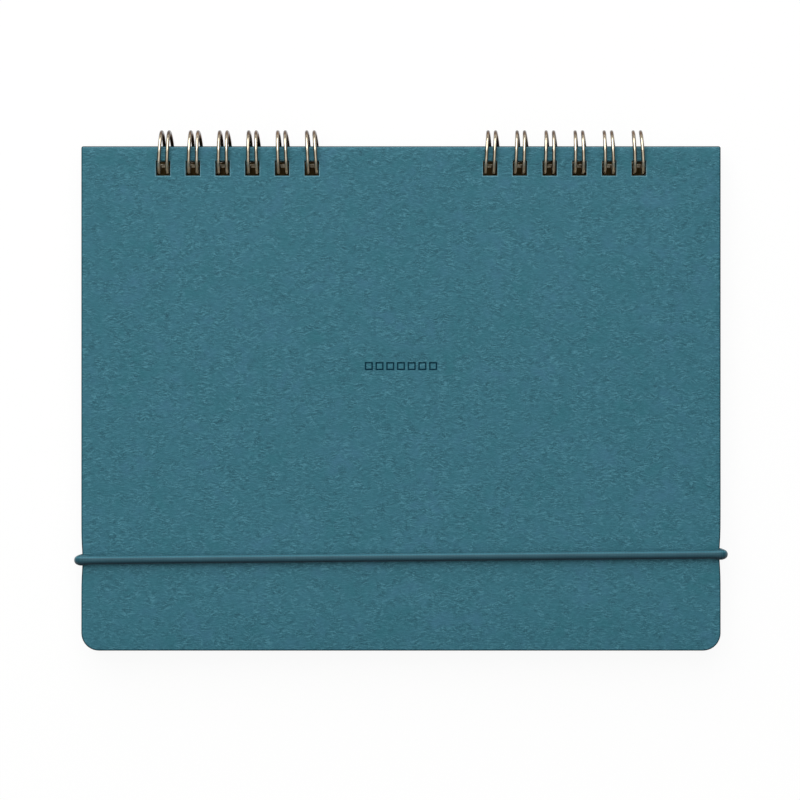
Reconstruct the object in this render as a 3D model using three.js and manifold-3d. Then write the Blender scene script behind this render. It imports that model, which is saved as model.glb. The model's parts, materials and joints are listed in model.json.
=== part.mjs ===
// A small desk calendar that lies closed on its back: two leatherette boards with a block of month
// pages between them, bound along the top by two short lengths of twin-loop wire, and held shut by
// an elastic cord. Millimetres, +X along the binding, +Y towards the binding, +Z up. The origin is
// under the middle of the whole object, on the table.
import * as THREE from 'three';
import { mergeVertices } from 'three/addons/utils/BufferGeometryUtils.js';
import Module from 'manifold-3d';

const wasm = await Module();
wasm.setup();

// Driving dimensions: the boards
const coverWidth = 182;
const coverHeight = 143.6;
const coverThickness = 1.4;
const coverBottomRadius = 5;
const coverTopRadius = 0.5;
const coverEdgeRound = 0.3;

// Driving dimensions: the month pages, kept a little inside the boards
const pageBlockThickness = 5;
const pageSideInset = 1.5;
const pageBottomInset = 1.5;
const pageTopInset = 0.55;
const pageCornerRadius = 3.5;
const leafGap = 0.3;

// Driving dimensions: the binding
const holePitch = 25.4 / 3;
const holesPerWire = 6;
const innerHolePlace = 3;
const edgeToHoles = 4.15;
const holeClearance = 0.45;
const holeSideClearance = 0.4;
const wireDiameter = 1;
const twinSpacing = 2.3;
const loopRoom = 2.1;
const tipGap = 0.4;
const rootClearance = 0.45;
const wireBend = 0.75;
const topLean = 0.12;
const backLean = 0.5;
const relaxedPitch = 8.38;

// Driving dimensions: the elastic
const elasticWidth = 2.2;
const elasticThickness = 1.85;
const elasticRound = 0.55;
const elasticClearance = 0.2;
const elasticDrop = 117.15;
const elasticSlant = THREE.MathUtils.degToRad(0.6);

// Fineness of the round stretches
const cornerSteps = 6;
const edgeSteps = 2;
const wireSides = 8;
const loopSteps = 16;
const bendSteps = 2;
const samePlace = 1e-6;

// The stack and the loop that goes round it
const stackThickness = 2 * coverThickness + pageBlockThickness + 2 * leafGap;
const stackHalf = stackThickness / 2;
const wireRadius = wireDiameter / 2;
const loopInner = stackHalf + loopRoom / 2;
const loopMiddle = loopInner + wireRadius;
const loopOuter = loopInner + wireDiameter;

// Hole walls, measured from the loops' centre line towards the foot of the calendar. The far wall
// clears the loop where it is widest, and the near wall clears it where it leaves the outer board.
const holeFar = loopOuter + holeClearance;
const holeNear = Math.sqrt(loopInner ** 2 - stackHalf ** 2) - holeClearance;
const holeWidth = twinSpacing + wireDiameter + 2 * holeSideClearance;
const centreBelowEdge = edgeToHoles - holeNear;

// Heights over the table, and places along the page
const centreHeight = Math.max(loopOuter, stackHalf + elasticClearance + elasticThickness);
const loopOverhang = loopOuter - centreBelowEdge;
const topEdge = (coverHeight - loopOverhang) / 2;
const loopCentre = topEdge - centreBelowEdge;
const backCoverBottom = centreHeight - stackHalf;
const pagesBottom = backCoverBottom + coverThickness + leafGap;
const frontCoverBottom = pagesBottom + pageBlockThickness + leafGap;

const leatherette = new THREE.MeshStandardMaterial({ color: 0x3b6c7c, roughness: 0.7 });
const paper = new THREE.MeshStandardMaterial({ color: 0xf3efe4, roughness: 0.9 });
const antiqueBrass = new THREE.MeshStandardMaterial({ color: 0x7d6a4a, roughness: 0.35, metalness: 1 });
const elasticCord = new THREE.MeshStandardMaterial({ color: 0x3a5f6c, roughness: 0.85 });

// The holes' middles along the binding, for the wire on the side given by -1 or 1
function holeMiddles(side) {
  return Array.from({ length: holesPerWire }, (_, i) => {
    const place = side < 0 ? -(innerHolePlace + holesPerWire - 1 - i) : innerHolePlace + i;
    return place * holePitch;
  });
}

// An outline's points, with each place where a line meets an arc counted once
function tracedPoints(path) {
  const points = path.getPoints(cornerSteps);
  return points.filter((point, i) => point.distanceTo(points[(i + 1) % points.length]) > samePlace);
}

// A leaf's outline with its top edge at y = 0 and its foot below
function leafShape(width, height, topRadius, footRadius) {
  const half = width / 2;
  const outline = new THREE.Path();
  outline.absarc(half - footRadius, -height + footRadius, footRadius, -Math.PI / 2, 0, false);
  outline.absarc(half - topRadius, -topRadius, topRadius, 0, Math.PI / 2, false);
  outline.absarc(-half + topRadius, -topRadius, topRadius, Math.PI / 2, Math.PI, false);
  outline.absarc(-half + footRadius, -height + footRadius, footRadius, Math.PI, 1.5 * Math.PI, false);
  return new THREE.Shape(tracedPoints(outline));
}

// A closed geometry as a solid that can be cut
function solidFrom(geometry) {
  const bare = geometry.clone();
  bare.deleteAttribute('normal');
  bare.deleteAttribute('uv');
  const merged = mergeVertices(bare);
  const vertProperties = new Float32Array(merged.attributes.position.array);
  const triVerts = new Uint32Array(merged.index.array);
  return new wasm.Manifold(new wasm.Mesh({ numProp: 3, vertProperties, triVerts }));
}

function geometryFrom(solid) {
  const { vertProperties, triVerts } = solid.getMesh();
  const geometry = new THREE.BufferGeometry();
  geometry.setAttribute('position', new THREE.BufferAttribute(vertProperties, 3));
  geometry.setIndex(new THREE.BufferAttribute(triVerts, 1));
  geometry.computeVertexNormals();
  return geometry;
}

// Square holes punched right through a leaf that is thickness high over z = 0
function punch(leaf, thickness, holesBelowTop) {
  const holeHeight = holeFar - holeNear;
  let solid = solidFrom(leaf);
  for (const x of [...holeMiddles(-1), ...holeMiddles(1)]) {
    const cutter = new THREE.BoxGeometry(holeWidth, holeHeight, 2 * thickness);
    cutter.translate(x, -holesBelowTop - holeHeight / 2, thickness / 2);
    solid = solid.subtract(solidFrom(cutter));
  }
  return geometryFrom(solid);
}

// A board with its covering turned softly over every edge
function makeCover(name, bottom) {
  const shape = leafShape(coverWidth, coverHeight, coverTopRadius, coverBottomRadius);
  const geometry = new THREE.ExtrudeGeometry(shape, {
    depth: coverThickness - 2 * coverEdgeRound,
    bevelEnabled: true,
    bevelThickness: coverEdgeRound,
    bevelSize: coverEdgeRound,
    bevelOffset: -coverEdgeRound,
    bevelSegments: edgeSteps,
  });
  geometry.translate(0, 0, coverEdgeRound);
  const punched = punch(geometry, coverThickness, edgeToHoles);
  const cover = new THREE.Mesh(punched, leatherette.clone());
  cover.name = name;
  cover.position.set(0, topEdge, bottom);
  return cover;
}

function makePages() {
  const shape = leafShape(
    coverWidth - 2 * pageSideInset,
    coverHeight - pageTopInset - pageBottomInset,
    coverTopRadius,
    pageCornerRadius,
  );
  const geometry = new THREE.ExtrudeGeometry(shape, {
    depth: pageBlockThickness,
    bevelEnabled: false,
  });
  const pages = new THREE.Mesh(punch(geometry, pageBlockThickness, edgeToHoles - pageTopInset), paper);
  pages.name = 'month_pages';
  pages.position.set(0, topEdge - pageTopInset, pagesBottom);
  return pages;
}

// A route that is followed from point to point, so that each point becomes one ring of the wire
class Route extends THREE.Curve {
  constructor(points) {
    super();
    this.points = points;
  }
  getPoint(t, target = new THREE.Vector3()) {
    const along = t * (this.points.length - 1);
    const from = Math.min(Math.floor(along), this.points.length - 2);
    return target.lerpVectors(this.points[from], this.points[from + 1], along - from);
  }
  getUtoTmapping(u) {
    return u;
  }
}

// Angles go round the loop from the hole side, over the front, the top and the back. The narrow
// tips come down through the holes and close against the wide roots, just behind the back cover.
const rootDip = Math.asin((stackHalf + wireRadius + rootClearance) / loopMiddle);
const rootAngle = 2 * Math.PI - rootDip;
const tipAngle = -(rootDip - (wireDiameter + tipGap) / loopMiddle);
const bendAngle = wireBend / loopMiddle;

// The rounded corner between a leg and a crossbar, as [x, angle] pairs in the wire's own order
function bendPoints(x, angle, outward, legSide, leaving) {
  const points = [];
  for (let i = 0; i <= bendSteps; i += 1) {
    const turn = (i / bendSteps) * (Math.PI / 2);
    const along = x + outward * wireBend * (1 - Math.cos(turn));
    const around = angle + legSide * bendAngle * (1 - Math.sin(turn));
    points.push([along, around]);
  }
  return leaving ? points : points.reverse();
}

// A leg's points between its two bends, at even angles counted from the hole side
function legPoints(x, fromAngle, toAngle) {
  const step = (2 * Math.PI) / loopSteps;
  const low = Math.min(fromAngle, toAngle) + step / 4;
  const high = Math.max(fromAngle, toAngle) - step / 4;
  const points = [];
  for (let n = Math.ceil(low / step); n * step <= high; n += 1) {
    points.push([x, n * step]);
  }
  return fromAngle < toAngle ? points : points.reverse();
}

// How far a loop leans along the binding: the relaxed wire is closer pitched than the holes, and
// its back half trails to the right
function leanAt(angle, place) {
  const fan = -(place - (holesPerWire - 1) / 2) * (holePitch - relaxedPitch);
  const round = THREE.MathUtils.smoothstep(angle, 0, Math.PI);
  const behind = THREE.MathUtils.smoothstep(angle, Math.PI, rootAngle);
  return (topLean + fan) * round + backLean * behind;
}

function makeWire(name, side) {
  const middles = holeMiddles(side);
  const wrapped = [];
  const add = (place, pairs) => {
    for (const [x, angle] of pairs) {
      const lean = leanAt(angle, place);
      const y = -loopMiddle * Math.cos(angle);
      const z = loopMiddle * Math.sin(angle);
      wrapped.push(new THREE.Vector3(x + lean, y, z));
    }
  };
  middles.forEach((middle, place) => {
    const left = middle - twinSpacing / 2;
    const right = middle + twinSpacing / 2;
    const legRoot = rootAngle - bendAngle;
    const legTip = tipAngle + bendAngle;
    const first = place === 0;
    const last = place === middles.length - 1;
    add(place, first ? [[left, rootAngle]] : bendPoints(left, rootAngle, -1, -1, false));
    add(place, legPoints(left, legRoot, legTip));
    add(place, bendPoints(left, tipAngle, 1, 1, true));
    add(place, bendPoints(right, tipAngle, -1, 1, false));
    add(place, legPoints(right, legTip, legRoot));
    add(place, last ? [[right, rootAngle]] : bendPoints(right, rootAngle, 1, -1, true));
  });
  const section = new THREE.Shape();
  section.absarc(0, 0, wireRadius, 0, 2 * Math.PI, false);
  const geometry = new THREE.ExtrudeGeometry(section, {
    steps: wrapped.length - 1,
    curveSegments: wireSides / 2,
    bevelEnabled: false,
    extrudePath: new Route(wrapped),
  });
  const wire = new THREE.Mesh(geometry, antiqueBrass.clone());
  wire.name = name;
  wire.position.set(0, loopCentre, centreHeight);
  return wire;
}

// A rounded rectangle about the origin, for the cord's outside and its inside
function roundedRectangle(halfWidth, halfHeight, radius) {
  const outline = new THREE.Path();
  outline.absarc(halfWidth - radius, -halfHeight + radius, radius, -Math.PI / 2, 0, false);
  outline.absarc(halfWidth - radius, halfHeight - radius, radius, 0, Math.PI / 2, false);
  outline.absarc(-halfWidth + radius, halfHeight - radius, radius, Math.PI / 2, Math.PI, false);
  outline.absarc(-halfWidth + radius, -halfHeight + radius, radius, Math.PI, 1.5 * Math.PI, false);
  return tracedPoints(outline);
}

// The endless cord, a rounded ring that stands round the stack near the foot of the covers
function makeElastic() {
  const innerHalfWidth = coverWidth / 2 + elasticClearance;
  const innerHalfHeight = stackHalf + elasticClearance;
  const innerRadius = coverEdgeRound + elasticClearance;
  const outside = roundedRectangle(
    innerHalfWidth + elasticThickness,
    innerHalfHeight + elasticThickness,
    innerRadius + elasticThickness,
  );
  const ring = new THREE.Shape(outside);
  ring.holes.push(new THREE.Path(roundedRectangle(innerHalfWidth, innerHalfHeight, innerRadius)));
  const geometry = new THREE.ExtrudeGeometry(ring, {
    depth: elasticWidth - 2 * elasticRound,
    bevelEnabled: true,
    bevelThickness: elasticRound,
    bevelSize: elasticRound,
    bevelOffset: -elasticRound,
    bevelSegments: edgeSteps,
  });
  geometry.translate(0, 0, elasticRound - elasticWidth / 2);
  const elastic = new THREE.Mesh(geometry, elasticCord);
  elastic.name = 'elastic_band';
  elastic.rotation.x = Math.PI / 2;
  const slanted = new THREE.Group();
  slanted.position.set(0, topEdge - elasticDrop, centreHeight);
  slanted.rotation.z = elasticSlant;
  slanted.add(elastic);
  return slanted;
}

const calendar = new THREE.Group();
calendar.add(makeCover('back_cover', backCoverBottom));
calendar.add(makePages());
calendar.add(makeCover('front_cover', frontCoverBottom));
calendar.add(makeWire('wire_left', -1));
calendar.add(makeWire('wire_right', 1));
calendar.add(makeElastic());

export default calendar;
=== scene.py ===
# %% [markdown]
# # A desk calendar, closed and held by its elastic
# The construction of the calendar is already packed: two boards, the month pages, two lengths of
# twin-loop wire and the elastic. Here each of them gets its real surface. The frame is loaded first,
# because every piece takes its size and its place from it.

import json
import math
from random import Random

import bpy
from mathutils import Matrix, Vector


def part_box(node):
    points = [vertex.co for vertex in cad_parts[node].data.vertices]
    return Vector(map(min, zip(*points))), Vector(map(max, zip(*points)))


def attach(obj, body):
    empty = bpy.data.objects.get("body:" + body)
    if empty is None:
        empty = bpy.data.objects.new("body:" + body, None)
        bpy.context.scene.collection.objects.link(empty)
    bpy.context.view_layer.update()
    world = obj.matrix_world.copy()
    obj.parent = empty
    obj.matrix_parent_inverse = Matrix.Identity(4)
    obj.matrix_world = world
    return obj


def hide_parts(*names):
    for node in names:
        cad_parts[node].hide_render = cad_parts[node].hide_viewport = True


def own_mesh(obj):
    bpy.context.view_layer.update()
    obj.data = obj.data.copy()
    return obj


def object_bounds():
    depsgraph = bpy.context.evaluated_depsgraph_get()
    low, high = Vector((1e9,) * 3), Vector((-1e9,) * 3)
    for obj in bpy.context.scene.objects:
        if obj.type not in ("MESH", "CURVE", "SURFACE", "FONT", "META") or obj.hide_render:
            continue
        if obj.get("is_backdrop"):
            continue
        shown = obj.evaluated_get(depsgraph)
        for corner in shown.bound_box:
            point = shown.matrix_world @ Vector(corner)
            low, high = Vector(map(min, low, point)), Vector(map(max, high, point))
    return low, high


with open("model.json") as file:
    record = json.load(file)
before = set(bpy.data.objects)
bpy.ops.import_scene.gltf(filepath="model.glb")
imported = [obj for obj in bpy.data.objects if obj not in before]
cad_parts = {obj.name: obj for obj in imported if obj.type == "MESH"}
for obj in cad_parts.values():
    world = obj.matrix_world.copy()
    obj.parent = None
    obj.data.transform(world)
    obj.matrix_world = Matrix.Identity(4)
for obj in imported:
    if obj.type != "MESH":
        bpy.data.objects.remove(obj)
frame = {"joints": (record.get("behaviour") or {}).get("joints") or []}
cad_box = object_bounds()
MM = 0.001

# %% [markdown]
# ## What the frame says
# The boards, the block of pages and the loops are measured once here, so that no later cell
# repeats one of their sizes.

# %% Measure the nodes
FRONT_LOW, FRONT_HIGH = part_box("front_cover")
BACK_LOW, BACK_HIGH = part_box("back_cover")
PAGES_LOW, PAGES_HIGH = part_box("month_pages")
LOOPS_LOW, LOOPS_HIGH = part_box("wire_left")
BAND_LOW, BAND_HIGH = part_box("elastic_band")
HINGE = Vector(frame["joints"][0]["pos_m"])
TOP_EDGE = FRONT_HIGH.y
print("boards", (FRONT_HIGH - FRONT_LOW) / MM)
print("loops' centre line, above the table and from the top edge:", HINGE.z / MM, (TOP_EDGE - HINGE.y) / MM)

# %% [markdown]
# ## Camera
# The photograph looks straight down from far off, so its perspective is weak: a long lens, about
# 1.4 m over the front board. The frame is square, 228 mm across at the height of that board, and its
# middle lies a little below the middle of the calendar.

# %% Make the camera
VIEW_WIDTH = 227.7 * MM
CAMERA_HEIGHT = 1390 * MM
AIM_BELOW_TOP_EDGE = 72.24 * MM
AIM_ACROSS = -0.28 * MM
SENSOR_WIDTH = 36.0

bpy.ops.object.camera_add(
    location=(AIM_ACROSS, TOP_EDGE - AIM_BELOW_TOP_EDGE, FRONT_HIGH.z + CAMERA_HEIGHT),
    rotation=(0, 0, 0),
)
camera = bpy.context.object
camera.name = "camera"
camera.data.sensor_width = SENSOR_WIDTH
camera.data.lens = SENSOR_WIDTH * CAMERA_HEIGHT / VIEW_WIDTH
bpy.context.scene.camera = camera
print("lens", round(camera.data.lens, 1), "mm")

# %% [markdown]
# ## Small helpers
# A primitive is added with everything else deselected. Faces and corners are picked in code, by
# where they lie, in the mesh itself, and the operators then work on what is picked.


# %% Helpers for modelling
def select_only(*pieces):
    """Leaves just these objects selected, the last one active."""
    for other in bpy.context.selected_objects:
        other.select_set(False)
    for piece in pieces:
        piece.select_set(True)
        bpy.context.view_layer.objects.active = piece


def pick(piece, kind, test):
    """Selects the corners or faces of a mesh whose middle passes the test, and counts them."""
    bpy.ops.object.mode_set(mode="OBJECT")
    mesh = piece.data
    for part in (mesh.vertices, mesh.edges, mesh.polygons):
        part.foreach_set("select", [False] * len(part))
    bpy.context.tool_settings.mesh_select_mode = (kind == "VERT", False, kind == "FACE")
    count = 0
    for item in {"VERT": mesh.vertices, "FACE": mesh.polygons}[kind]:
        middle = item.co if kind == "VERT" else item.center
        if test(middle, item):
            item.select = True
            count += 1
    bpy.ops.object.mode_set(mode="EDIT")
    return count


def cut_lines(places, normal):
    """Bisects the whole mesh that is being edited, once at each place along the normal."""
    for place in places:
        bpy.ops.mesh.select_all(action="SELECT")
        bpy.ops.mesh.bisect(plane_co=Vector(normal) * place, plane_no=normal)


def apply_modifier(piece, kind, **settings):
    """Adds one modifier with its settings and applies it at once."""
    select_only(piece)
    modifier = piece.modifiers.new(kind.lower(), kind)
    for setting, value in settings.items():
        setattr(modifier, setting, value)
    bpy.ops.object.modifier_apply(modifier=modifier.name)


def settle(piece):
    """Puts a piece's place into its mesh, so that the object itself sits at the origin."""
    select_only(piece)
    bpy.ops.object.transform_apply(location=True, rotation=True, scale=True)


print("helpers ready")

# %% [markdown]
# ## One leaf of the calendar
# Boards and sheets share one outline: a rectangle with small rounded corners at the binding, larger
# ones at the foot, and twelve square holes in two groups, three to the inch. It starts as a plane,
# has its corners bevelled, is bisected along every hole's walls, loses the faces of the holes, and is
# then extruded to its thickness.

# %% Binding holes
MM_PER_INCH = 25.4
HOLES_PER_INCH = 3
HOLE_PITCH = MM_PER_INCH / HOLES_PER_INCH * MM
# Each place is counted in pitches from the middle of the binding.
HOLE_PLACES = [-8, -7, -6, -5, -4, -3, 3, 4, 5, 6, 7, 8]
HOLE_WIDTH = 4.1 * MM
HOLE_TOP = HINGE.y - 2.7 * MM
HOLE_FOOT = HINGE.y - 6.95 * MM
hole_middles = [place * HOLE_PITCH for place in HOLE_PLACES]
print("holes:", len(hole_middles), "from", round(hole_middles[0] / MM, 1), "mm")


# %% A flat leaf with its holes
FOOT_SEGMENTS = 10
TOP_SEGMENTS = 4


def in_a_hole(middle, room):
    """Whether a place lies in a hole, or no further from one than the room."""
    across = any(abs(middle.x - hole) < HOLE_WIDTH / 2 + room for hole in hole_middles)
    return across and HOLE_FOOT - room < middle.y < HOLE_TOP + room


def flat_leaf(name, low, high, top_radius, foot_radius, room=0, extra_x=(), extra_y=()):
    """A plane between two corners at low's height, cut to the leaf's outline."""
    bpy.ops.object.select_all(action="DESELECT")
    middle = (low + high) / 2
    bpy.ops.mesh.primitive_plane_add(size=1, location=(middle.x, middle.y, low.z))
    leaf = bpy.context.object
    leaf.name = leaf.data.name = name
    leaf.scale = (high.x - low.x, high.y - low.y, 1)
    settle(leaf)
    for radius, below, segments in ((foot_radius, True, FOOT_SEGMENTS), (top_radius, False, TOP_SEGMENTS)):
        pick(leaf, "VERT", lambda place, _: (place.y < middle.y) == below)
        bpy.ops.mesh.bevel(offset=radius, segments=segments, affect="VERTICES")
    walls = [hole + side * (HOLE_WIDTH / 2 + room) for hole in hole_middles for side in (-1, 1)]
    cut_lines([*walls, *extra_x], (1, 0, 0))
    cut_lines([HOLE_TOP + room, HOLE_FOOT - room, *extra_y], (0, 1, 0))
    pick(leaf, "FACE", lambda place, _: in_a_hole(place, room))
    bpy.ops.mesh.delete(type="FACE")
    return leaf


def thicken(leaf, thickness):
    """Extrudes the leaf that is being edited upward, and turns every face outward."""
    bpy.ops.mesh.select_all(action="SELECT")
    bpy.ops.mesh.extrude_region_move(TRANSFORM_OT_translate={"value": (0, 0, thickness)})
    bpy.ops.mesh.select_all(action="SELECT")
    bpy.ops.mesh.normals_make_consistent(inside=False)
    bpy.ops.object.mode_set(mode="OBJECT")
    print(leaf.name, len(leaf.data.polygons), "faces")


# %% [markdown]
# ## The boards
# Each board is a stiff card wrapped in leatherette, so its edges are soft and round. The cord lies
# over it at a slant of half a degree and presses the sides in where it goes round them, which shows
# as a slight waist. The rows of extra cuts near the cord give the waist its corners. The front board
# also carries a small pressed row of seven boxes, one for each day of a week.

# %% Sizes for the boards
EDGE_ROUND = 0.5 * MM
TOP_RADIUS = 0.55 * MM
FOOT_RADIUS = 5 * MM
BAND_RAISE = 0.15 * MM
BAND_MIDDLE = (BAND_LOW.y + BAND_HIGH.y) / 2 + BAND_RAISE
BAND_SLANT = math.radians(0.52)
WAIST_DEPTH = 0.32 * MM
WAIST_REACH = 4.5 * MM
WAIST_STEPS = [-12, -8, -5.5, -3.5, -2, -1, 0, 1, 2, 3.5, 5.5, 8, 12]
waist_cuts = [BAND_MIDDLE + step * MM for step in WAIST_STEPS]
SIDE_CUT = 3 * MM
side_cuts = [FRONT_LOW.x + SIDE_CUT, FRONT_HIGH.x - SIDE_CUT]

BOX_SIZE = 2.3 * MM
BOX_PITCH = 3.05 * MM
BOX_LINE = 0.42 * MM
BOX_DEPTH = 0.2 * MM
PRESS_SLOPE = 0.07 * MM
BOXES_BELOW_TOP_EDGE = 62.6 * MM
BOX_COUNT = 7
box_row = TOP_EDGE - BOXES_BELOW_TOP_EDGE
box_middles = [(i - (BOX_COUNT - 1) / 2) * BOX_PITCH for i in range(BOX_COUNT)]
box_x = [middle + side * BOX_SIZE / 2 for middle in box_middles for side in (-1, 1)]
box_y = [box_row - BOX_SIZE / 2, box_row + BOX_SIZE / 2]
print("boxes from", round(box_x[0] / MM, 2), "to", round(box_x[-1] / MM, 2), "mm")


# %% Shape a board
def band_line(x):
    """Where the cord's middle crosses a board, at this place across it."""
    return BAND_MIDDLE + x * math.tan(BAND_SLANT)


def press_waist(board, low, high):
    """Draws the board's long sides in a little where the cord goes round them."""
    for corner in board.data.vertices:
        x, y, _ = corner.co
        side = 1 if x > 0 else -1
        from_edge = min(x - low.x, high.x - x)
        nearness = max(0, 1 - from_edge / SIDE_CUT)
        along = (y - band_line(x)) / WAIST_REACH
        corner.co.x -= side * WAIST_DEPTH * nearness * math.exp(-along * along)


def make_board(name, low, high, extra_x=(), extra_y=()):
    board = flat_leaf(
        name,
        low,
        high,
        TOP_RADIUS,
        FOOT_RADIUS,
        extra_x=[*side_cuts, *extra_x],
        extra_y=[*waist_cuts, *extra_y],
    )
    thicken(board, high.z - low.z)
    press_waist(board, low, high)
    return board


front_board = make_board("front_board", FRONT_LOW, FRONT_HIGH, box_x, box_y)
back_board = make_board("back_board", BACK_LOW, BACK_HIGH)

# %% [markdown]
# The outer edge is rounded by half a millimetre, but a punch leaves a hole's rim much sharper. So the
# rims carry weights, one for the outline and a smaller one for the holes, and a Bevel modifier reads
# them. The boxes are pressed after that: each box's face is inset, and the ring that this leaves
# round it is pushed down.

# %% Round the boards' rims
SQUARE_BELOW = 0.5
LEVEL_WITHIN = 0.01 * MM
RIM_ROOM = 0.1 * MM
HOLE_ROUND_SHARE = 0.46
ROUND_SEGMENTS = 4


def rims(mesh):
    """The edges where two faces meet at a right angle and that don't stand upright."""
    meeting = {}
    for face in mesh.polygons:
        for key in face.edge_keys:
            meeting.setdefault(key, []).append(face.normal)
    for edge in mesh.edges:
        one, other = (mesh.vertices[i].co for i in edge.vertices)
        first, second = meeting[edge.key]
        if first.dot(second) < SQUARE_BELOW and abs(one.z - other.z) < LEVEL_WITHIN:
            yield edge, (one + other) / 2


for board in (front_board, back_board):
    weights = board.data.attributes.new("bevel_weight_edge", "FLOAT", "EDGE")
    for edge, middle in rims(board.data):
        on_hole = in_a_hole(middle, RIM_ROOM)
        weights.data[edge.index].value = HOLE_ROUND_SHARE if on_hole else 1.0
    apply_modifier(
        board,
        "BEVEL",
        width=EDGE_ROUND,
        segments=ROUND_SEGMENTS,
        limit_method="WEIGHT",
        use_clamp_overlap=False,
    )
    print(board.name, len(board.data.polygons), "faces")


# %% Press the row of boxes
FACING_UP = 0.9
BOARD_SMOOTH_ANGLE = math.radians(40)


def is_box_face(place, face):
    """Whether a face is part of one of the seven squares on top of the board."""
    across = any(abs(place.x - middle) < BOX_SIZE / 2 for middle in box_middles)
    return across and abs(place.y - box_row) < BOX_SIZE / 2 and face.normal.z > FACING_UP


def is_box_line(place, face):
    """Whether a face is one of the four strips between a box's outline and its middle."""
    if not is_box_face(place, face):
        return False
    inner = BOX_SIZE / 2 - BOX_LINE
    nearest = min(box_middles, key=lambda middle: abs(place.x - middle))
    return max(abs(place.x - nearest), abs(place.y - box_row)) > inner


select_only(front_board)
boxes = pick(front_board, "FACE", is_box_face)
bpy.ops.mesh.inset(thickness=BOX_LINE, depth=0, use_individual=True)
strips = pick(front_board, "FACE", is_box_line)
bpy.ops.mesh.inset(thickness=PRESS_SLOPE, depth=-BOX_DEPTH)
bpy.ops.object.mode_set(mode="OBJECT")
for board in (front_board, back_board):
    select_only(board)
    bpy.ops.object.shade_smooth_by_angle(angle=BOARD_SMOOTH_ANGLE)
print("boxes", boxes, "strips", strips)

# %% [markdown]
# ## The month pages
# A calendar's pages are a stack of loose sheets, and their edges show as fine lines along the foot
# and the sides. One sheet is modelled and copied up the stack, each copy shifted by a hair.

# %% Stack the sheets
SHEET_COUNT = 20
SHEET_THICKNESS = 0.19 * MM
SHEET_SHIFT = 0.1 * MM
SHUFFLE_SEED = 7
PAGE_FOOT_RADIUS = 3.5 * MM
PAGE_HOLE_ROOM = 0.3 * MM
shuffle = Random(SHUFFLE_SEED)
step = (PAGES_HIGH.z - PAGES_LOW.z - SHEET_THICKNESS) / (SHEET_COUNT - 1)
first_sheet = flat_leaf(
    "month_sheets", PAGES_LOW, PAGES_HIGH, TOP_RADIUS, PAGE_FOOT_RADIUS, room=PAGE_HOLE_ROOM
)
thicken(first_sheet, SHEET_THICKNESS)
sheets = [first_sheet]
for number in range(1, SHEET_COUNT):
    sheet = first_sheet.copy()
    sheet.data = first_sheet.data.copy()
    bpy.context.collection.objects.link(sheet)
    shift = (shuffle.uniform(-1, 1) * SHEET_SHIFT, shuffle.uniform(-1, 0) * SHEET_SHIFT, number * step)
    sheet.data.transform(Matrix.Translation(shift))
    sheets.append(sheet)
select_only(*sheets[1:], first_sheet)
bpy.ops.object.join()
month_sheets = bpy.context.object
print("sheets:", SHEET_COUNT, "faces:", len(month_sheets.data.polygons))

# %% [markdown]
# ## The twin-loop wires
# One wire runs through all six holes of a group. It goes up through a hole as a pair of legs, over
# the front, the top edge and the back, and from each loop to the next by a wide crossbar behind the
# back board, where the narrow tips close against it. The loops are a little closer pitched than the
# holes, so they fan, and their back halves trail to the right. A curve with a round section follows
# that route, worked out by a loop.

# %% Sizes for the wires
WIRE_RADIUS = 0.5 * MM
LOOP_RADIUS = (LOOPS_HIGH.z - LOOPS_LOW.z) / 2 - WIRE_RADIUS
LOOPS_PER_WIRE = 6
# A loop's angle is 0 on its side toward the foot, 90 degrees on top and 180 past the top edge.
TIP_ANGLE = math.radians(-49.7)
ROOT_ANGLE = math.radians(296.4)
LEG_STEP = math.radians(6)
TWIN_AT_HOLE = 2.42 * MM
TWIN_AT_TOP = 2.12 * MM
BEND = 0.85 * MM
BEND_STEPS = 6
# The lean shifts a loop along the binding, more and more over its top, and the trail adds to it behind.
LEAN_FROM = math.radians(20)
FIRST_LEAN = 0.62 * MM
LEAN_STEP = -0.24 * MM
HELD_SHARE = 0.2
TRAIL_FROM = math.radians(160)
LEFT_TRAIL = 0.78 * MM
RIGHT_TRAIL = 0.95 * MM
TRAIL_STEP = 0.02 * MM
print("loop radius", round(LOOP_RADIUS / MM, 2), "mm, wire radius", WIRE_RADIUS / MM, "mm")


# %% Route of a wire
def smooth(value, start, end):
    """0 before the start, 1 past the end, and a soft change between them."""
    share = min(1, max(0, (value - start) / (end - start)))
    return share * share * (3 - 2 * share)


def on_loop(x, angle, place):
    """A point on the loops' round, leaning along the binding as its place in the group asks."""
    rise = smooth(angle, LEAN_FROM, math.pi)
    trail = (LEFT_TRAIL if x < 0 else RIGHT_TRAIL) + TRAIL_STEP * place
    trail *= smooth(angle, TRAIL_FROM, ROOT_ANGLE)
    lean = (FIRST_LEAN + LEAN_STEP * place) * (rise - HELD_SHARE) + trail
    y = HINGE.y - LOOP_RADIUS * math.cos(angle)
    z = HINGE.z + LOOP_RADIUS * math.sin(angle)
    return Vector((x + lean, y, z))


def corner(x, angle, outward, up, place):
    """The rounded corner between a leg and a crossbar, from the crossbar's side to the leg's."""
    points = []
    for i in range(BEND_STEPS + 1):
        turn = (1 - i / BEND_STEPS) * math.pi / 2
        across = x + outward * BEND * (1 - math.cos(turn))
        around = angle + up * BEND / LOOP_RADIUS * (1 - math.sin(turn))
        points.append(on_loop(across, around, place))
    return points


def leg(middle, side, place):
    """One leg from the tip's corner to the root's corner, closing in a little over the top."""
    bend = BEND / LOOP_RADIUS
    low, high = TIP_ANGLE + bend, ROOT_ANGLE - bend
    count = round((high - low) / LEG_STEP)
    points = []
    for i in range(1, count):
        angle = low + (high - low) * i / count
        waist = smooth(angle, 0, math.pi) - smooth(angle, math.pi, ROOT_ANGLE)
        half = (TWIN_AT_HOLE + (TWIN_AT_TOP - TWIN_AT_HOLE) * waist) / 2
        points.append(on_loop(middle + side * half, angle, place))
    return points


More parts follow.
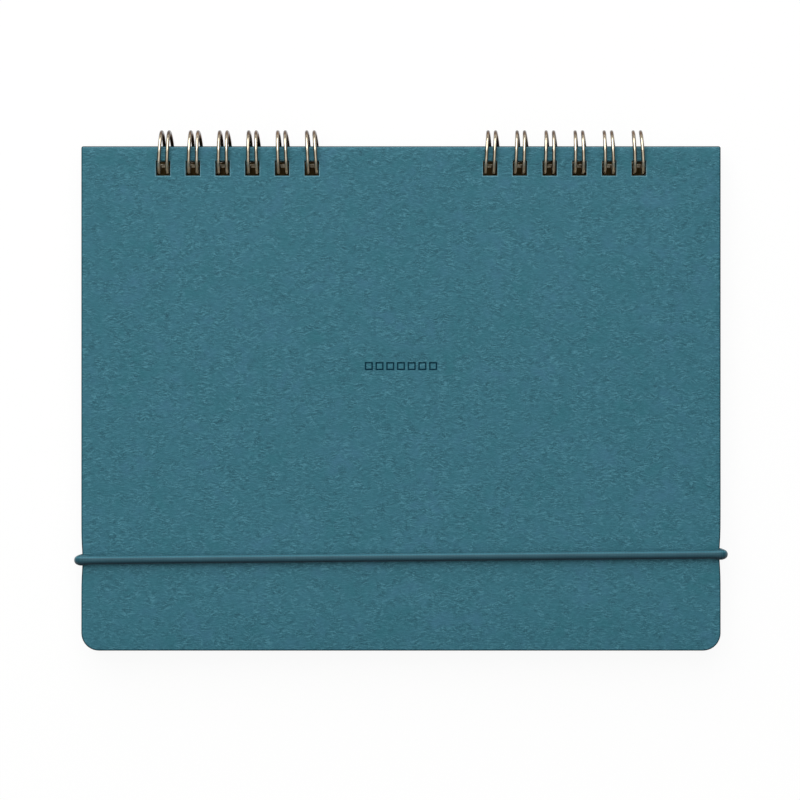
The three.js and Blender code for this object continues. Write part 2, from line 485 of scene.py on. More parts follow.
def wire_route(middles):
    """All the points of one wire, from its first loop's root to its last loop's."""
    route = []
    half = TWIN_AT_HOLE / 2
    for place, middle in enumerate(middles):
        left, right = middle - half, middle + half
        from_crossbar = corner(left, ROOT_ANGLE, -1, -1, place)
        to_crossbar = corner(right, ROOT_ANGLE, 1, -1, place)[::-1]
        if place == 0:
            from_crossbar = [on_loop(left, ROOT_ANGLE, place)]
        if place == len(middles) - 1:
            to_crossbar = [on_loop(right, ROOT_ANGLE, place)]
        route += from_crossbar
        route += leg(middle, -1, place)[::-1]
        route += corner(left, TIP_ANGLE, 1, 1, place)[::-1]
        route += corner(right, TIP_ANGLE, -1, 1, place)
        route += leg(middle, 1, place)
        route += to_crossbar
    return route


left_route = wire_route(hole_middles[:LOOPS_PER_WIRE])
right_route = wire_route(hole_middles[LOOPS_PER_WIRE:])
print("points on one wire:", len(left_route))


# %% Draw the wires
WIRE_FINENESS = 4
MERGE_WITHIN = 0.001 * MM
WIRE_SMOOTH_ANGLE = math.radians(50)


def tube(name, route, radius, closed, fineness):
    """A round wire or cord along a route, as a mesh with 4 + 2 * fineness sides.

    An open one has a cap at each end, whose corners are still to be merged with its own.
    """
    bpy.ops.object.select_all(action="DESELECT")
    bpy.ops.curve.primitive_nurbs_path_add()
    piece = bpy.context.object
    piece.name = name
    curve = piece.data
    curve.splines.clear()
    curve.dimensions = "3D"
    curve.twist_mode = "MINIMUM"
    curve.bevel_depth = radius
    curve.bevel_resolution = fineness
    curve.use_fill_caps = not closed
    spline = curve.splines.new("POLY")
    spline.points.add(len(route) - 1)
    for point, place in zip(spline.points, route):
        point.co = (*place, 1)
    spline.use_cyclic_u = closed
    bpy.ops.object.convert(target="MESH")
    piece = bpy.context.object
    piece.data.name = name
    return piece


left_loops = tube("left_loops", left_route, WIRE_RADIUS, closed=False, fineness=WIRE_FINENESS)
right_loops = tube("right_loops", right_route, WIRE_RADIUS, closed=False, fineness=WIRE_FINENESS)
for wire in (left_loops, right_loops):
    settle(wire)
    bpy.ops.object.mode_set(mode="EDIT")
    bpy.ops.mesh.select_all(action="SELECT")
    bpy.ops.mesh.remove_doubles(threshold=MERGE_WITHIN)
    bpy.ops.mesh.normals_make_consistent(inside=False)
    bpy.ops.object.mode_set(mode="OBJECT")
    bpy.ops.object.shade_smooth_by_angle(angle=WIRE_SMOOTH_ANGLE)
    print(wire.name, len(wire.data.polygons), "faces")

# %% [markdown]
# The brass is painted dark on the wire's flanks and on the outside of its top bend, as painted shade
# and painted dark reflection. A value at each corner of the mesh says how far that corner faces along
# the binding or out past the top edge, and the brass reads it later as the attribute "flank".

# %% Mark the flanks of the wires
OUTWARD_POWER = 3
# The flank value drives painted shade on the wire's sides and the outside of its top bend.
for wire in (left_loops, right_loops):
    flank = wire.data.attributes.new("flank", "FLOAT", "POINT")
    for point in wire.data.vertices:
        flank.data[point.index].value = max(abs(point.normal.x), point.normal.y**OUTWARD_POWER)
    print(wire.name, len(flank.data), "flank values")

# %% [markdown]
# ## The elastic
# A round elastic cord goes once round the closed calendar. On the boards it is pulled thin, and at
# the sides, where it turns over the edges, its woven cover bunches and the cord bulges. The route is
# a rounded rectangle, and the bulge is a swelling of the section near the two sides, which narrows
# again at its outermost point.

# %% Draw the elastic
BAND_THICK = 1.85 * MM
BAND_BEND = 1.25 * MM
BAND_SIDES = 24
ROUND_STEPS = 10
RUN_STEP = 1.2 * MM


def band_route():
    """The cord's middle line about the origin, as points in the upright plane across the boards."""
    half_x = (BAND_HIGH.x - BAND_LOW.x - BAND_THICK) / 2
    half_z = (BAND_HIGH.z - BAND_LOW.z - BAND_THICK) / 2
    route = []
    for turn, (sign_x, sign_z) in enumerate(((1, -1), (1, 1), (-1, 1), (-1, -1))):
        centre = Vector((sign_x * (half_x - BAND_BEND), 0, sign_z * (half_z - BAND_BEND)))
        for i in range(ROUND_STEPS + 1):
            angle = (turn - 1 + i / ROUND_STEPS) * math.pi / 2
            route.append(centre + BAND_BEND * Vector((math.cos(angle), 0, math.sin(angle))))
    filled = []
    for here, there in zip(route, route[1:] + route[:1]):
        steps = max(1, round((there - here).length / RUN_STEP))
        filled += [here.lerp(there, i / steps) for i in range(steps)]
    return filled


band_line_points = band_route()
elastic = tube("elastic_cord", band_line_points, BAND_THICK / 2, closed=True, fineness=BAND_SIDES // 2 - 2)
settle(elastic)
print("elastic rings:", len(band_line_points), "corners:", len(elastic.data.vertices))

# %% Swell the elastic at the sides and set it on the calendar
BAND_WIDTH = 2.35 * MM
BAND_BULGE = 0.3
SWELL_REACH = 2.8 * MM
BAND_TAPER = 0.32
for point in elastic.data.vertices:
    across = abs(point.co.x)
    swell = BAND_BULGE * smooth(across, FRONT_HIGH.x - SWELL_REACH, FRONT_HIGH.x)
    taper = BAND_TAPER * smooth(across, FRONT_HIGH.x, BAND_HIGH.x)
    point.co.y *= BAND_WIDTH / BAND_THICK * (1 + swell - taper)
band_place = Matrix.Translation((0, BAND_MIDDLE, (BAND_LOW.z + BAND_HIGH.z) / 2))
elastic.data.transform(band_place @ Matrix.Rotation(BAND_SLANT, 4, "Z"))
select_only(elastic)
bpy.ops.object.mode_set(mode="EDIT")
bpy.ops.mesh.select_all(action="SELECT")
bpy.ops.mesh.normals_make_consistent(inside=False)
bpy.ops.object.mode_set(mode="OBJECT")
bpy.ops.object.shade_smooth()
print("elastic reaches", round(max(point.co.x for point in elastic.data.vertices) / MM, 2), "mm to the side")

# %% [markdown]
# ## Materials
# Every colour is an sRGB hex value, turned to linear by one function, and one function adds a node
# with its settings and links. Patterns take their scale from a real size: a texture with a scale of
# one over a length repeats about once in that length.


# %% Helpers for materials
def linear(hex_colour):
    """An sRGB hex colour as the linear RGBA that a shader takes."""
    channels = [int(hex_colour[i : i + 2], 16) / 255 for i in (1, 3, 5)]
    return tuple(c / 12.92 if c <= 0.04045 else ((c + 0.055) / 1.055) ** 2.4 for c in channels) + (1.0,)


def add_node(tree, kind, settings=None, stops=(), **links):
    """Adds a node, whose kind is its type's name without ShaderNode at the front.

    Settings are its properties, or only its operation. Stops are a colour ramp's places with their
    hex colours. Links are values or sockets for its inputs, by name or by in and their number.
    """
    node = tree.nodes.new("ShaderNode" + kind)
    if isinstance(settings, str):
        settings = {"operation": settings}
    for name, value in (settings or {}).items():
        setattr(node, name, value)
    if stops:
        elements = node.color_ramp.elements
        while len(elements) < len(stops):
            elements.new(0.5)
        for element, (place, colour) in zip(elements, stops):
            element.position = place
            element.color = linear(colour)
    for name, value in links.items():
        key = int(name[2:]) if name.startswith("in") and name[2:].isdigit() else name.replace("_", " ")
        socket = node.inputs[key]
        if isinstance(value, bpy.types.NodeSocket):
            tree.links.new(value, socket)
        else:
            socket.default_value = value
    return node


def new_material(name):
    """An empty material with its output and its Principled shader."""
    material = bpy.data.materials.new(name)
    material.use_nodes = True
    tree = material.node_tree
    tree.nodes.clear()
    shader = add_node(tree, "BsdfPrincipled")
    add_node(tree, "OutputMaterial", Surface=shader.outputs[0])
    return material, tree, shader


def per_length(length):
    """A texture scale whose pattern repeats about once in this length."""
    return 1 / length


# What most Mix and Map Range nodes here have in common
COLOUR_MIX = {"data_type": "RGBA"}
SOFT_STEP = {"interpolation_type": "SMOOTHSTEP"}
print("black in linear:", linear("#000000")[:3])

# %% [markdown]
# ### Leatherette
# Leatherette is a soft film of polyurethane with a pressed grain, glued to card. The eye reads a
# quiet, matt blue-green with short lighter and darker dashes a millimetre long, a finer pebble
# between them, and broad faint clouds of greener and bluer tone. The dashes are a stretched noise on
# a place that a slower noise warps, so that they don't all lie parallel.

# %% Leatherette
DASH_LENGTH = 1.25 * MM
DASH_WIDTH = 0.31 * MM
DASH_SLANT = math.radians(12)
PEBBLE = 0.36 * MM
PATCH = 3.2 * MM
CLOUD = 12 * MM
WARP = 4 * MM
WARP_REACH = 2.4 * MM
PEBBLE_SHARE = 0.4
GRAIN_HEIGHT = 0.06 * MM


def leatherette_grain(tree, place):
    """The dashes and the pebbles of the pressed grain, each a value from 0 to 1."""
    drift = add_node(tree, "TexNoise", Vector=place, Scale=per_length(WARP), Detail=1.0).outputs["Color"]
    centred = add_node(tree, "VectorMath", "SUBTRACT", in0=drift, in1=(0.5, 0.5, 0.5)).outputs[0]
    warped = add_node(
        tree,
        "VectorMath",
        "MULTIPLY_ADD",
        in0=centred,
        in1=(WARP_REACH, WARP_REACH, 0),
        in2=place,
    ).outputs[0]
    stretched = add_node(
        tree,
        "Mapping",
        Vector=warped,
        Rotation=(0, 0, DASH_SLANT),
        Scale=(per_length(DASH_LENGTH), per_length(DASH_WIDTH), per_length(DASH_WIDTH)),
    ).outputs[0]
    dashes = add_node(
        tree, "TexNoise", Vector=stretched, Scale=1.0, Detail=1.0, Roughness=0.5, Distortion=0.5
    ).outputs["Fac"]
    pebbles = add_node(
        tree, "TexNoise", Vector=place, Scale=per_length(PEBBLE), Detail=1.0, Roughness=0.5
    ).outputs["Fac"]
    return dashes, pebbles


def leatherette_colour(tree, place, dashes, pebbles):
    """Clouds of plain tone, under a grain that is stronger in some patches than in others."""
    clouds = add_node(
        tree, "TexNoise", Vector=place, Scale=per_length(CLOUD), Detail=3.0, Roughness=0.55
    ).outputs["Fac"]
    patches = add_node(tree, "TexNoise", Vector=place, Scale=per_length(PATCH), Detail=2.0).outputs["Fac"]
    grain_share = add_node(
        tree, "MapRange", Value=patches, From_Min=0.36, From_Max=0.62, To_Min=0.3, To_Max=1.0
    ).outputs[0]
    cloud_stops = [(0.32, "#246571"), (0.5, "#2d6877"), (0.68, "#356a7f")]
    dash_stops = [(0.3, "#0f4452"), (0.5, "#296472"), (0.7, "#4e8a9a")]
    pebble_stops = [(0.3, "#144856"), (0.5, "#296472"), (0.7, "#488292")]
    plain = add_node(tree, "ValToRGB", stops=cloud_stops, Fac=clouds).outputs["Color"]
    dashed = add_node(tree, "ValToRGB", stops=dash_stops, Fac=dashes).outputs["Color"]
    pebbled = add_node(tree, "ValToRGB", stops=pebble_stops, Fac=pebbles).outputs["Color"]
    grained = add_node(tree, "Mix", COLOUR_MIX, in0=PEBBLE_SHARE, in6=dashed, in7=pebbled).outputs[2]
    return add_node(tree, "Mix", COLOUR_MIX, in0=grain_share, in6=plain, in7=grained).outputs[2]


def make_leatherette():
    material, tree, shader = new_material("leatherette_polyurethane")
    place = add_node(tree, "TexCoord").outputs["Object"]
    dashes, pebbles = leatherette_grain(tree, place)
    colour = leatherette_colour(tree, place, dashes, pebbles)
    grain = add_node(tree, "Math", "ADD", in0=dashes, in1=pebbles).outputs[0]
    bump = add_node(tree, "Bump", Strength=0.55, Distance=GRAIN_HEIGHT, Height=grain).outputs[0]
    rough = add_node(
        tree, "MapRange", Value=pebbles, From_Min=0.3, From_Max=0.7, To_Min=0.5, To_Max=0.66
    ).outputs[0]
    tree.links.new(colour, shader.inputs["Base Color"])
    tree.links.new(bump, shader.inputs["Normal"])
    tree.links.new(rough, shader.inputs["Roughness"])
    shader.inputs["Specular IOR Level"].default_value = 0.26
    return material


leatherette = make_leatherette()
print(leatherette.name, len(leatherette.node_tree.nodes), "nodes")

# %% [markdown]
# ### Rims, edges, pressed boxes and bare board
# At the cut edge the film was trimmed and sealed, and looks darker. In the pressed boxes heat and
# pressure close the grain, and the eye reads a still darker, matt line. The rims of the holes and of
# the top edge are painted pale, a painted highlight where they face the light. Inside the holes the
# punch lays bare the board, a dry, warm grey. All four are one tone with a slight grain, so one function
# makes them.

# %% Plain films and bare board
EDGE_FIBRE = 0.5 * MM
PRESS_GRAIN = 0.3 * MM
FILM_RELIEF = 0.05 * MM


def make_plain_film(name, dark, light, grain_size, roughness, strength):
    """A surface of one tone with a slight grain, whose strength is that of its bump."""
    material, tree, shader = new_material(name)
    place = add_node(tree, "TexCoord").outputs["Object"]
    grain = add_node(tree, "TexNoise", Vector=place, Scale=per_length(grain_size), Detail=3.0).outputs["Fac"]
    colour = add_node(tree, "ValToRGB", stops=[(0.35, dark), (0.65, light)], Fac=grain).outputs["Color"]
    bump = add_node(tree, "Bump", Strength=strength, Distance=FILM_RELIEF, Height=grain).outputs[0]
    tree.links.new(colour, shader.inputs["Base Color"])
    tree.links.new(bump, shader.inputs["Normal"])
    shader.inputs["Roughness"].default_value = roughness
    shader.inputs["Specular IOR Level"].default_value = 0.06
    return material


# Painted highlight: a pale film for the rims that face the light.
painted_rim_highlight = make_plain_film(
    "leatherette_worn_rim", "#4f7f8e", "#6b99a6", EDGE_FIBRE, roughness=0.6, strength=0.3
)
board_edge = make_plain_film(
    "board_edge_sealed", "#12303a", "#1b3f49", EDGE_FIBRE, roughness=0.7, strength=0.4
)
pressed_film = make_plain_film(
    "leatherette_heat_pressed", "#032c3a", "#073746", PRESS_GRAIN, roughness=0.62, strength=0.25
)
card_core = make_plain_film(
    "grey_board_core", "#a3937f", "#bcae9b", EDGE_FIBRE, roughness=0.9, strength=0.5
)
print(board_edge.name, pressed_film.name, painted_rim_highlight.name, card_core.name)

# %% [markdown]
# ### Paper
# The sheets are uncoated, off-white, with a faint fibre. The top one is ruled in pale grey for a
# month: seven days across and five weeks down. The lines are worked out from the place on the sheet,
# and they only print where the height says that it is the top sheet.

# %% Ruled lines
RULE_WIDTH = 0.3 * MM
RULE_SPREAD = 0.02


def ruled_lines(tree, along, start, span, count):
    """1 on each of the count + 1 lines that divide a span, and 1 all over the span."""
    gap = span / count
    from_start = add_node(tree, "Math", "SUBTRACT", in0=along, in1=start).outputs[0]
    share = add_node(tree, "Math", "DIVIDE", in0=from_start, in1=gap).outputs[0]
    from_line = add_node(tree, "Math", "PINGPONG", in0=share, in1=0.5).outputs[0]
    half_line = RULE_WIDTH / 2 / gap
    near = add_node(tree, "Math", "LESS_THAN", in0=from_line, in1=half_line).outputs[0]
    after = add_node(tree, "Math", "GREATER_THAN", in0=share, in1=-RULE_SPREAD).outputs[0]
    end = count + RULE_SPREAD
    before = add_node(tree, "Math", "LESS_THAN", in0=share, in1=end).outputs[0]
    within = add_node(tree, "Math", "MULTIPLY", in0=after, in1=before).outputs[0]
    lines = add_node(tree, "Math", "MULTIPLY", in0=near, in1=within).outputs[0]
    return lines, within


print("lines", RULE_WIDTH / MM, "mm wide")

# %% Paper
GRID_MARGIN = 12 * MM
GRID_LEFT = PAGES_LOW.x + GRID_MARGIN
GRID_WIDTH = PAGES_HIGH.x - PAGES_LOW.x - 2 * GRID_MARGIN
GRID_FOOT = PAGES_LOW.y + 10 * MM
GRID_HEIGHT = 105 * MM
DAYS = 7
WEEKS = 5
FIBRE = 0.8 * MM
FIBRE_HEIGHT = 0.03 * MM


def make_paper():
    material, tree, shader = new_material("uncoated_paper")
    place = add_node(tree, "TexCoord").outputs["Object"]
    across, along, height = add_node(tree, "SeparateXYZ", Vector=place).outputs
    fibres = add_node(
        tree, "TexNoise", Vector=place, Scale=per_length(FIBRE), Detail=4.0, Roughness=0.65
    ).outputs["Fac"]
    paper_stops = [(0.3, "#eeeade"), (0.7, "#f6f3ea")]
    bare = add_node(tree, "ValToRGB", stops=paper_stops, Fac=fibres).outputs["Color"]
    upright, in_width = ruled_lines(tree, across, GRID_LEFT, GRID_WIDTH, DAYS)
    level, in_height = ruled_lines(tree, along, GRID_FOOT, GRID_HEIGHT, WEEKS)
    columns = add_node(tree, "Math", "MULTIPLY", in0=upright, in1=in_height).outputs[0]
    rows = add_node(tree, "Math", "MULTIPLY", in0=level, in1=in_width).outputs[0]
    lines = add_node(tree, "Math", "MAXIMUM", in0=columns, in1=rows).outputs[0]
    top_sheet = PAGES_HIGH.z - SHEET_THICKNESS / 2
    on_top = add_node(tree, "Math", "GREATER_THAN", in0=height, in1=top_sheet).outputs[0]
    ink = add_node(tree, "Math", "MULTIPLY", in0=lines, in1=on_top).outputs[0]
    printed = add_node(tree, "Mix", COLOUR_MIX, in0=ink, in6=bare, in7=linear("#8d9a9c")).outputs[2]
    bump = add_node(tree, "Bump", Strength=0.2, Distance=FIBRE_HEIGHT, Height=fibres).outputs[0]
    tree.links.new(printed, shader.inputs["Base Color"])
    tree.links.new(bump, shader.inputs["Normal"])
    shader.inputs["Roughness"].default_value = 0.88
    shader.inputs["Specular IOR Level"].default_value = 0.25
    return material


paper = make_paper()
print(paper.name, "ruled", DAYS, "by", WEEKS)

# %% [markdown]
# ### Antique brass wire
# The wire is steel, drawn, brass plated and darkened, so it is metal through and through to the eye.
# Over the top and on the front legs down to the tips it is painted pale and bright, as painted light.
# Its back halves, its flanks and the outside of its top bend take dark patina tones as painted shade
# and painted dark reflection. Where the legs go down into the holes they are duller. The tone and
# gloss change a little every few millimetres, and drawing leaves faint streaks.

# %% Where the brass is painted lit
PAINTED_LIT_FROM = 0.8 * MM
PAINTED_LIT_TO = 4.2 * MM
PAINTED_LIT_TILT = 0.45
FRONT_SHARE = 1.3


def painted_lit_share(tree, past_axis, above_axis):
    """Painted light: 1 over the top and on the front of the loops, and 0 in the painted shade at their back.
    """
    tilted = add_node(tree, "Math", "MULTIPLY", in0=past_axis, in1=PAINTED_LIT_TILT).outputs[0]
    over_top = add_node(tree, "Math", "SUBTRACT", in0=above_axis, in1=tilted).outputs[0]
    on_front = add_node(tree, "Math", "MULTIPLY", in0=past_axis, in1=-FRONT_SHARE).outputs[0]
    level = add_node(tree, "Math", "MAXIMUM", in0=over_top, in1=on_front).outputs[0]
    return add_node(
        tree, "MapRange", SOFT_STEP, Value=level, From_Min=PAINTED_LIT_FROM, From_Max=PAINTED_LIT_TO
    ).outputs[0]


# The painted light is full from this height over the loops' middle line.
print("rubbed fully from", PAINTED_LIT_TO / MM, "mm over the loops' middle line")

# %% Antique brass
PATINA = 3.5 * MM
STREAK = 0.25 * MM
STREAK_DEPTH = 0.02 * MM
FLANK_FROM = 0.5
FLANK_TO = 0.92
DULL_FROM = -2.4 * MM
DULL_TO = -4.0 * MM
DULL_ROUGHNESS = 0.22


def make_antique_brass():
    material, tree, shader = new_material("antique_brass_plated_wire")
    place = add_node(tree, "TexCoord").outputs["Object"]
    _, along, height = add_node(tree, "SeparateXYZ", Vector=place).outputs
    past_axis = add_node(tree, "Math", "SUBTRACT", in0=along, in1=HINGE.y).outputs[0]
    above_axis = add_node(tree, "Math", "SUBTRACT", in0=height, in1=HINGE.z).outputs[0]
    patina = add_node(
        tree, "TexNoise", Vector=place, Scale=per_length(PATINA), Detail=4.0, Roughness=0.6
    ).outputs["Fac"]
    streaks = add_node(tree, "TexNoise", Vector=place, Scale=per_length(STREAK), Detail=2.0).outputs["Fac"]

    bright_stops = [(0.3, "#cabca4"), (0.5, "#ded2ba"), (0.72, "#efe6d2")]
    dark_stops = [(0.3, "#3a2a20"), (0.72, "#8a6a4e")]
    bright = add_node(tree, "ValToRGB", stops=bright_stops, Fac=patina).outputs["Color"]
    dark = add_node(tree, "ValToRGB", stops=dark_stops, Fac=patina).outputs["Color"]
    # Painted light on the top and front of the loops, painted shade on their back halves.
    painted_lit = painted_lit_share(tree, past_axis, above_axis)
    faced = add_node(tree, "Mix", COLOUR_MIX, in0=painted_lit, in6=dark, in7=bright).outputs[2]
    # Painted shade and painted dark reflection on the flanks and the outside of the top bend.
    flank = add_node(tree, "Attribute", {"attribute_name": "flank"}).outputs["Fac"]
    painted_flank_shade = add_node(
        tree, "MapRange", SOFT_STEP, Value=flank, From_Min=FLANK_FROM, From_Max=FLANK_TO
    ).outputs[0]
    painted_brass_tone = add_node(tree, "Mix", COLOUR_MIX, in0=painted_flank_shade, in6=faced, in7=linear("#33241a")).outputs[2]

    gloss = add_node(
        tree, "MapRange", Value=patina, From_Min=0.3, From_Max=0.7, To_Min=0.24, To_Max=0.13
    ).outputs[0]
    dull = add_node(
        tree,
        "MapRange",
        SOFT_STEP,
        Value=past_axis,
        From_Min=DULL_TO,
        From_Max=DULL_FROM,
        To_Min=DULL_ROUGHNESS,
        To_Max=0.0,
    ).outputs[0]
    rough = add_node(tree, "Math", "ADD", in0=gloss, in1=dull).outputs[0]
    bump = add_node(tree, "Bump", Strength=0.12, Distance=STREAK_DEPTH, Height=streaks).outputs[0]
    tree.links.new(painted_brass_tone, shader.inputs["Base Color"])
    tree.links.new(rough, shader.inputs["Roughness"])
    tree.links.new(bump, shader.inputs["Normal"])
    shader.inputs["Metallic"].default_value = 1.0
    return material


antique_brass = make_antique_brass()
print(antique_brass.name, len(antique_brass.node_tree.nodes), "nodes")

# %% [markdown]
# ### Woven elastic
# The cord is a rubber core in a fine braided sleeve. Two sets of threads cross at a slant, so the
# pattern follows the cord: its own UV map says how far along and how far round a point lies. Threads
# of 0.3 mm are about one pixel here, so the braid is drawn a little coarser. A painted highlight runs
# along the side toward the binding, and painted shade darkens the side toward the foot, which the eye
# reads as a soft line of light along the cord.

# %% UV map along the elastic
rings = len(band_line_points)
around_count = len(elastic.data.vertices) // rings
lengths = [0.0]
for here, there in zip(band_line_points, band_line_points[1:] + band_line_points[:1]):
    lengths.append(lengths[-1] + (there - here).length)
uv_layer = elastic.data.uv_layers.new(name="along_cord")
for face in elastic.data.polygons:
    ring_numbers = [elastic.data.loops[i].vertex_index // around_count for i in face.loop_indices]
    side_numbers = [elastic.data.loops[i].vertex_index % around_count for i in face.loop_indices]
    over_seam = max(ring_numbers) - min(ring_numbers) > 1
    round_seam = max(side_numbers) - min(side_numbers) > 1
    for i, ring, side in zip(face.loop_indices, ring_numbers, side_numbers):
        ring = rings if over_seam and ring == 0 else ring
        side = around_count if round_seam and side == 0 else side
        uv_layer.data[i].uv = (lengths[ring], side / around_count)
print("cord length along its middle:", round(lengths[-1] / MM), "mm, sides:", around_count)

# %% The braid and the painted side light
THREADS_ROUND = 10
BRAID_PITCH = 0.85 * MM
# Painted shade toward the foot and a painted white highlight toward the binding, across the cord.
PAINTED_SIDE_LIGHT_STOPS = [(0.1, "#4b636c"), (0.4, "#97a6aa"), (0.68, "#a9b6b9"), (0.84, "#ffffff"), (1.0, "#b4c4c8")]


def braid_height(tree, uv):
    """The height of the threads, from 0 between them to 1 on top of them."""
    length, turn, _ = add_node(tree, "SeparateXYZ", Vector=uv).outputs
    along_turn = 2 * math.pi / BRAID_PITCH
    around_turn = 2 * math.pi * THREADS_ROUND
    along = add_node(tree, "Math", "MULTIPLY", in0=length, in1=along_turn).outputs[0]
    around = add_node(tree, "Math", "MULTIPLY", in0=turn, in1=around_turn).outputs[0]
    waves = []
    for operation in ("ADD", "SUBTRACT"):
        slanted = add_node(tree, "Math", operation, in0=along, in1=around).outputs[0]
        waves.append(add_node(tree, "Math", "SINE", in0=slanted).outputs[0])
    crossed = add_node(tree, "Math", "MULTIPLY", in0=waves[0], in1=waves[1]).outputs[0]
    return add_node(tree, "Math", "MULTIPLY_ADD", in0=crossed, in1=0.5, in2=0.5).outputs[0]


def painted_side_light(tree, place):
    """Painted shade and highlight across the cord's width: shaded toward the foot, lit toward the binding.
    """
    across, along, _ = add_node(tree, "SeparateXYZ", Vector=place).outputs
    rise = math.tan(BAND_SLANT)
    middle = add_node(tree, "Math", "MULTIPLY_ADD", in0=across, in1=rise, in2=BAND_MIDDLE).outputs[0]
    from_middle = add_node(tree, "Math", "SUBTRACT", in0=along, in1=middle).outputs[0]
    side = add_node(tree, "Math", "MULTIPLY_ADD", in0=from_middle, in1=1 / BAND_WIDTH, in2=0.5).outputs[0]
    return add_node(tree, "ValToRGB", stops=PAINTED_SIDE_LIGHT_STOPS, Fac=side).outputs["Color"]


print("threads round the cord:", THREADS_ROUND)

# %% Woven elastic
WEAR = 6 * MM
WEAR_SHARE = 0.5
BRAID_HEIGHT = 0.08 * MM
LIFT = {"data_type": "RGBA", "blend_type": "SOFT_LIGHT"}
TONE = {"data_type": "RGBA", "blend_type": "MULTIPLY"}


def make_elastic_material():
    material, tree, shader = new_material("braided_elastic")
    uv = add_node(tree, "UVMap", {"uv_map": "along_cord"}).outputs[0]
    place = add_node(tree, "TexCoord").outputs["Object"]
    braid = braid_height(tree, uv)
    wear = add_node(tree, "TexNoise", Vector=place, Scale=per_length(WEAR), Detail=3.0).outputs["Fac"]
    thread_stops = [(0.0, "#17404c"), (0.5, "#28545f"), (1.0, "#3f717e")]
    wear_stops = [(0.3, "#214c57"), (0.7, "#2d5b67")]
    threads = add_node(tree, "ValToRGB", stops=thread_stops, Fac=braid).outputs["Color"]
    worn = add_node(tree, "ValToRGB", stops=wear_stops, Fac=wear).outputs["Color"]
    sleeve = add_node(tree, "Mix", COLOUR_MIX, in0=WEAR_SHARE, in6=threads, in7=worn).outputs[2]
    # The lift lightens the dye before the painted side light, which is white at most, takes some away: a
    # painted highlight toward the binding, painted shade toward the foot.
    lifted = add_node(tree, "Mix", LIFT, in0=1.0, in6=sleeve, in7=linear("#e9fbff")).outputs[2]
    side_lit_sleeve = add_node(tree, "Mix", TONE, in0=1.0, in6=lifted, in7=painted_side_light(tree, place)).outputs[2]
    bump = add_node(tree, "Bump", Strength=0.5, Distance=BRAID_HEIGHT, Height=braid).outputs[0]
    tree.links.new(side_lit_sleeve, shader.inputs["Base Color"])
    tree.links.new(bump, shader.inputs["Normal"])
    shader.inputs["Roughness"].default_value = 0.45
    shader.inputs["Specular IOR Level"].default_value = 0.3
    shader.inputs["Sheen Weight"].default_value = 0.25
    shader.inputs["Sheen Roughness"].default_value = 0.35
    return material


braided_elastic = make_elastic_material()
print(braided_elastic.name, len(braided_elastic.node_tree.nodes), "nodes")

# %% [markdown]
# ## Dress the pieces
# The boards take five materials: the film on the flat faces, the sealed edge on the outer walls, the
# pressed film in the boxes, a pale film as a painted highlight on the rims of the holes and of the top
# edge, and the bare board on the holes' walls. Faces are sorted by their normal and their place.

# %% Sort the boards' faces
board_materials = (leatherette, board_edge, pressed_film, painted_rim_highlight, card_core)
FILM, EDGE, PRESSED, RIM_HIGHLIGHT, CORE = range(len(board_materials))
FLAT = 0.99
FLAT_SLOPE = math.sqrt(1 - FLAT * FLAT)
SEALED_BELOW = 0.9
HOLE_WALL = 0.2
RIM_REACH = EDGE_ROUND * 1.5
LEAST_SUNK = 0.02 * MM


def at_outline(middle):
    """Whether a board's face lies on its outer edge and not in a hole."""
    from_side = FRONT_HIGH.x - abs(middle.x)
    from_foot = middle.y - FRONT_LOW.y
    from_top = FRONT_HIGH.y - middle.y
    in_corner = from_side < FOOT_RADIUS and from_foot < FOOT_RADIUS
    return in_corner or min(from_side - WAIST_DEPTH, from_foot, from_top) < RIM_REACH


def in_pressed_line(middle):
    """Whether a face lies in the boxes' row, pushed below the front board's surface."""
    in_row = abs(middle.y - box_row) < BOX_SIZE / 2 and abs(middle.x) < box_x[-1]
    return in_row and LEAST_SUNK < FRONT_HIGH.z - middle.z < 2 * BOX_DEPTH


def board_finish(face):
    """The number of the material that a board's face shows."""
    steep = abs(face.normal.z)
    if in_pressed_line(face.center):
        return PRESSED
    if steep > FLAT:
        return FILM
    if not at_outline(face.center):
        if steep < HOLE_WALL:
            return CORE
        # A painted highlight on the hole rims that don't face the foot.
        return FILM if face.normal.y < -HOLE_WALL / 2 else RIM_HIGHLIGHT
    if steep < SEALED_BELOW:
        return EDGE
    # A painted highlight on the outline's rim that faces the binding.
    return RIM_HIGHLIGHT if face.normal.y > FLAT_SLOPE / 2 else FILM


print("materials of a board:", len(board_materials))

# %% Give each piece its material
for board in (front_board, back_board):
    for material in board_materials:
        board.data.materials.append(material)
    counts = [0] * len(board_materials)
    for face in board.data.polygons:
        face.material_index = board_finish(face)
        counts[face.material_index] += 1
    print(board.name, "faces by material:", counts)
month_sheets.data.materials.append(paper)
elastic.data.materials.append(braided_elastic)
for wire in (left_loops, right_loops):
    wire.data.materials.append(antique_brass)

# %% [markdown]
# ## Bodies
# The front board turns with its joint, and everything else stays with the base. The elastic holds the
# calendar shut.

# %% Ride on the bodies
for piece, node, body, slot in (
    (front_board, "front_cover", "cover", "leatherette"),
    (back_board, "back_cover", "base", "leatherette"),
    (month_sheets, "month_pages", "base", "page_paper"),
    (left_loops, "wire_left", "base", "antique_brass_wire"),
    (right_loops, "wire_right", "base", "antique_brass_wire"),
    (elastic, "elastic_band", "base", "elastic_cord"),
):
    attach(piece, body)
    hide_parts(node)
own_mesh(elastic)

# %% [markdown]
# ## Floor and light
# The photograph's ground is white paper with hardly a shadow. Most of the floor's white is its own
# for the rays that see it directly, and the rest is lit, so that a faint shadow stays. In a strip
# under the binding the floor is painted brown and has none of its own white, a painted shade that
# only shows through the holes and makes them dark. A large soft lamp stands beyond the binding. The
# dome of the world is bright in a strip overhead from front to back, and dim at the sides, toward the
# foot and near the horizon, which gives the wires their narrow lights.

